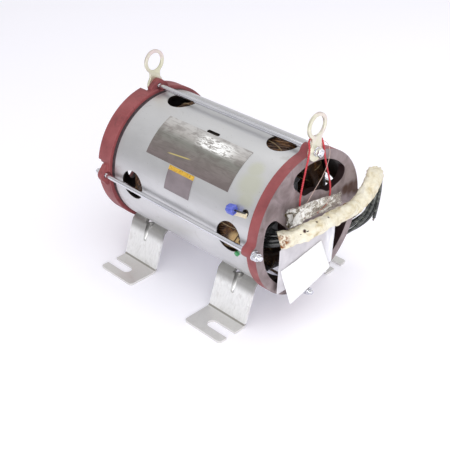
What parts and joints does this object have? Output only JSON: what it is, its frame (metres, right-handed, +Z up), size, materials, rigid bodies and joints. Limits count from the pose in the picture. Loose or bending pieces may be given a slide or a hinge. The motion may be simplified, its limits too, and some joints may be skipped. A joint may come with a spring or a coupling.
{
  "type": "elevator duty motor",
  "caption": "Open-frame foot-mounted electric motor: vented steel shell, cast end bells, outside tie rods, lifting eyes, slotted feet and loose leads.",
  "frame": {"origin": "centre of the four foot slots on the floor plane under the feet", "axes": "+X along the shaft towards the lead end, shaft extension towards -X, +Z up"},
  "size_m": [0.5321, 0.3927, 0.3955],
  "materials": {
    "shell_steel": "rolled steel tube, satin with faint mottling",
    "black_gasket": "black fibre ring",
    "core_steel": "varnished lamination stack",
    "winding_varnish": "varnished copper end turns",
    "bell_primer": "red oxide primer on cast iron",
    "zinc_steel": "bright zinc",
    "yellow_zinc": "pale yellow zinc",
    "foot_steel": "bright galvanised sheet",
    "bearing_steel": "ground bearing steel",
    "cage_steel": "pressed steel cage",
    "spring_steel": "blued spring steel",
    "shaft_steel": "turned steel, oiled",
    "rotor_steel": "turned lamination stack",
    "cast_aluminium": "as die cast",
    "plate_foil": "grey brown foil plate, bare of text",
    "sticker_film": "grey label with an ochre band, bare of text",
    "sleeve_cloth": "cream woven sleeve",
    "lead_rubber": "black lead jacket",
    "blue_plastic": "blue moulded cap",
    "tape_cloth": "cream cloth tape",
    "green_screw": "green painted screw",
    "red_cord": "red twisted cord",
    "clear_film": "clear crinkled film",
    "grey_card": "grey white card",
    "white_card": "white card",
    "tan_wire": "thin tan wire"
  },
  "bodies": {
    "frame": {"shell": "shell_steel", "joint_ring": "black_gasket", "stator_core": "core_steel", "stator_winding": "winding_varnish", "drive_end_bell": "bell_primer", "lead_end_bell": "bell_primer", "tie_rods": "zinc_steel", "lead_end_washers": "zinc_steel", "lead_end_nuts": "zinc_steel", "drive_end_washers": "zinc_steel", "drive_end_nuts": "zinc_steel", "lifting_eye_lead": "yellow_zinc", "lifting_eye_drive": "yellow_zinc", "foot_lead_left": "foot_steel", "foot_lead_right": "foot_steel", "foot_drive_left": "foot_steel", "foot_drive_right": "foot_steel", "drive_bearing_outer": "bearing_steel", "lead_bearing_outer": "bearing_steel", "wave_spring": "spring_steel", "snap_ring": "spring_steel", "nameplate": "plate_foil", "data_sticker": "sticker_film", "lead_sleeve": "sleeve_cloth", "protector_lead": "lead_rubber", "wire_nut": "blue_plastic", "tape_strip": "tape_cloth", "ground_screw": "green_screw", "tie_cord": "red_cord", "film_tube": "clear_film", "rear_tag": "grey_card", "front_tag": "white_card", "tag_wire": "tan_wire", "lead_1": "lead_rubber", "lead_2": "lead_rubber", "lead_3": "lead_rubber", "lead_4": "lead_rubber", "lead_5": "lead_rubber", "lead_6": "lead_rubber"},
    "rotor": {"shaft": "shaft_steel", "shaft_key": "shaft_steel", "rotor_core": "rotor_steel", "end_ring_drive": "cast_aluminium", "end_ring_lead": "cast_aluminium", "drive_bearing_inner": "bearing_steel", "lead_bearing_inner": "bearing_steel"},
    "drive_cage_set": {"drive_bearing_balls": "bearing_steel", "drive_bearing_cage": "cage_steel"},
    "lead_cage_set": {"lead_bearing_balls": "bearing_steel", "lead_bearing_cage": "cage_steel"}
  },
  "joints": [
    {"name": "rotor_spin", "type": "hinge", "parent": "frame", "child": "rotor", "pos_m": [0, 0, 0.1875], "axis": [1, 0, 0], "continuous": true},
    {"name": "drive_cage_spin", "type": "hinge", "parent": "frame", "child": "drive_cage_set", "pos_m": [-0.1844, 0, 0.1875], "axis": [1, 0, 0], "continuous": true},
    {"name": "lead_cage_spin", "type": "hinge", "parent": "frame", "child": "lead_cage_set", "pos_m": [0.1848, 0, 0.1875], "axis": [1, 0, 0], "continuous": true}
  ],
  "couplings": [
    {"joint": "drive_cage_spin", "follows": "rotor_spin", "ratio": 0.40083},
    {"joint": "lead_cage_spin", "follows": "rotor_spin", "ratio": 0.39615}
  ]
}
